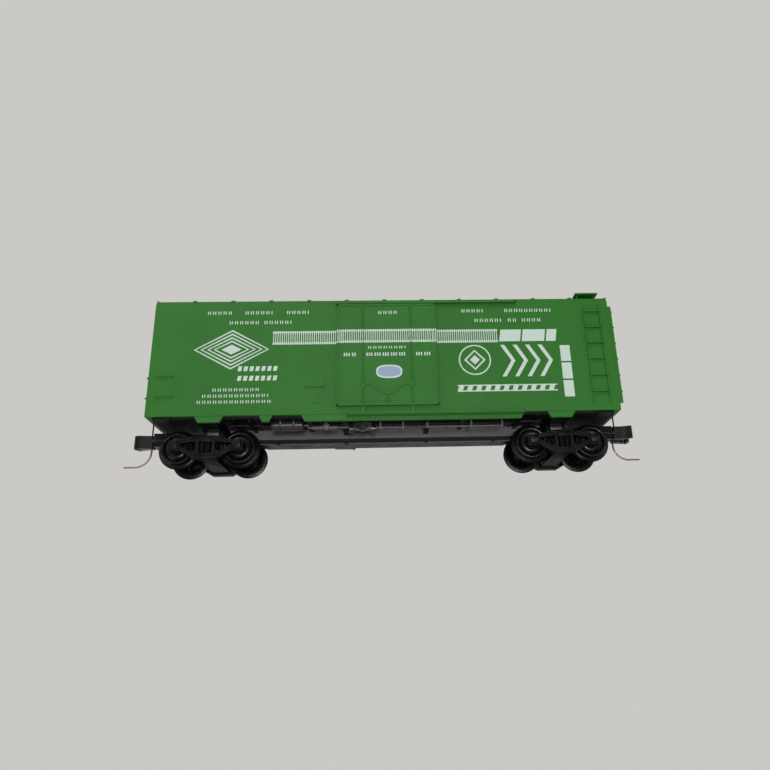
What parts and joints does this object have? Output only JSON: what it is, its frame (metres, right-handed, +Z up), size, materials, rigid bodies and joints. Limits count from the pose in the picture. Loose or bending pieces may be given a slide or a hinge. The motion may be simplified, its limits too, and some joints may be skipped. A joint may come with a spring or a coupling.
{
  "type": "model railway box car",
  "caption": "Model railway box car with sliding plug doors, ladders, running board, hand brake, swivelling trucks with free-running wheels, and sprung knuckle couplers.",
  "frame": {"origin": "middle of the car at the level of the wheel flanges' lowest points, centre of the bounding box's bottom face", "axes": "+X along the track towards the hand-brake end, +Y across the car, +Z up; the top of the rail is at Z = 0.7 mm"},
  "size_m": [0.0896, 0.0196, 0.03],
  "materials": {
    "green_plastic": "satin moulded green plastic with flat white pad printing",
    "black_plastic": "satin black moulded plastic",
    "grey_plastic": "satin moulded near-black grey plastic",
    "acetal_plastic": "smooth slippery black acetal",
    "ballast_steel": "rolled steel strip",
    "pin_steel": "browned steel wire",
    "spring_bronze": "drawn bronze wire"
  },
  "bodies": {
    "car_body": {"body_shell": "green_plastic", "running_board": "green_plastic", "underframe": "grey_plastic", "ballast_plate": "ballast_steel", "king_pin_a": "acetal_plastic", "king_pin_b": "acetal_plastic"},
    "brake_wheel": {"brake_wheel": "green_plastic"},
    "door_near": {"door_near": "green_plastic"},
    "door_far": {"door_far": "green_plastic"},
    "truck_a": {"truck_frame_a": "black_plastic", "coupler_lid_a": "black_plastic"},
    "coupler_a": {"coupler_head_a": "acetal_plastic", "coupler_spring_a": "spring_bronze"},
    "knuckle_a": {"coupler_knuckle_a": "acetal_plastic", "trip_pin_a": "pin_steel"},
    "wheelset_a_outer": {"axle_a_outer": "acetal_plastic", "wheel_a_outer_left": "acetal_plastic", "wheel_a_outer_right": "acetal_plastic"},
    "wheelset_a_inner": {"axle_a_inner": "acetal_plastic", "wheel_a_inner_left": "acetal_plastic", "wheel_a_inner_right": "acetal_plastic"},
    "truck_b": {"truck_frame_b": "black_plastic", "coupler_lid_b": "black_plastic"},
    "coupler_b": {"coupler_head_b": "acetal_plastic", "coupler_spring_b": "spring_bronze"},
    "knuckle_b": {"coupler_knuckle_b": "acetal_plastic", "trip_pin_b": "pin_steel"},
    "wheelset_b_outer": {"axle_b_outer": "acetal_plastic", "wheel_b_outer_left": "acetal_plastic", "wheel_b_outer_right": "acetal_plastic"},
    "wheelset_b_inner": {"axle_b_inner": "acetal_plastic", "wheel_b_inner_left": "acetal_plastic", "wheel_b_inner_right": "acetal_plastic"}
  },
  "joints": [
    {"name": "door_near_slide", "type": "slide", "parent": "car_body", "child": "door_near", "axis": [1, 0, 0], "range_m": [0, 0.0136]},
    {"name": "door_far_slide", "type": "slide", "parent": "car_body", "child": "door_far", "axis": [-1, 0, 0], "range_m": [0, 0.0136]},
    {"name": "brake_wheel_spin", "type": "hinge", "parent": "car_body", "child": "brake_wheel", "pos_m": [0.0405, -0.0026, 0.0223], "axis": [1, 0, 0], "continuous": true},
    {"name": "truck_a_swivel", "type": "hinge", "parent": "car_body", "child": "truck_a", "pos_m": [0.02965, 0, 0.0062], "axis": [0, 0, 1], "range_deg": [-12, 12]},
    {"name": "wheelset_a_outer_spin", "type": "hinge", "parent": "truck_a", "child": "wheelset_a_outer", "pos_m": [0.03475, 0, 0.00332], "axis": [0, 1, 0], "continuous": true},
    {"name": "wheelset_a_inner_spin", "type": "hinge", "parent": "truck_a", "child": "wheelset_a_inner", "pos_m": [0.02455, 0, 0.00332], "axis": [0, 1, 0], "continuous": true},
    {"name": "coupler_a_swing", "type": "hinge", "parent": "truck_a", "child": "coupler_a", "pos_m": [0.03735, 0, 0.0057], "axis": [0, 0, 1], "range_deg": [-8, 8]},
    {"name": "knuckle_a_open", "type": "hinge", "parent": "coupler_a", "child": "knuckle_a", "pos_m": [0.03735, 0, 0.0057], "axis": [0, 0, 1], "range_deg": [0, 7]},
    {"name": "truck_b_swivel", "type": "hinge", "parent": "car_body", "child": "truck_b", "pos_m": [-0.02965, 0, 0.0062], "axis": [0, 0, 1], "range_deg": [-12, 12]},
    {"name": "wheelset_b_outer_spin", "type": "hinge", "parent": "truck_b", "child": "wheelset_b_outer", "pos_m": [-0.03475, 0, 0.00332], "axis": [0, 1, 0], "continuous": true},
    {"name": "wheelset_b_inner_spin", "type": "hinge", "parent": "truck_b", "child": "wheelset_b_inner", "pos_m": [-0.02455, 0, 0.00332], "axis": [0, 1, 0], "continuous": true},
    {"name": "coupler_b_swing", "type": "hinge", "parent": "truck_b", "child": "coupler_b", "pos_m": [-0.03735, 0, 0.0057], "axis": [0, 0, 1], "range_deg": [-8, 8]},
    {"name": "knuckle_b_open", "type": "hinge", "parent": "coupler_b", "child": "knuckle_b", "pos_m": [-0.03735, 0, 0.0057], "axis": [0, 0, 1], "range_deg": [0, 7]}
  ]
}
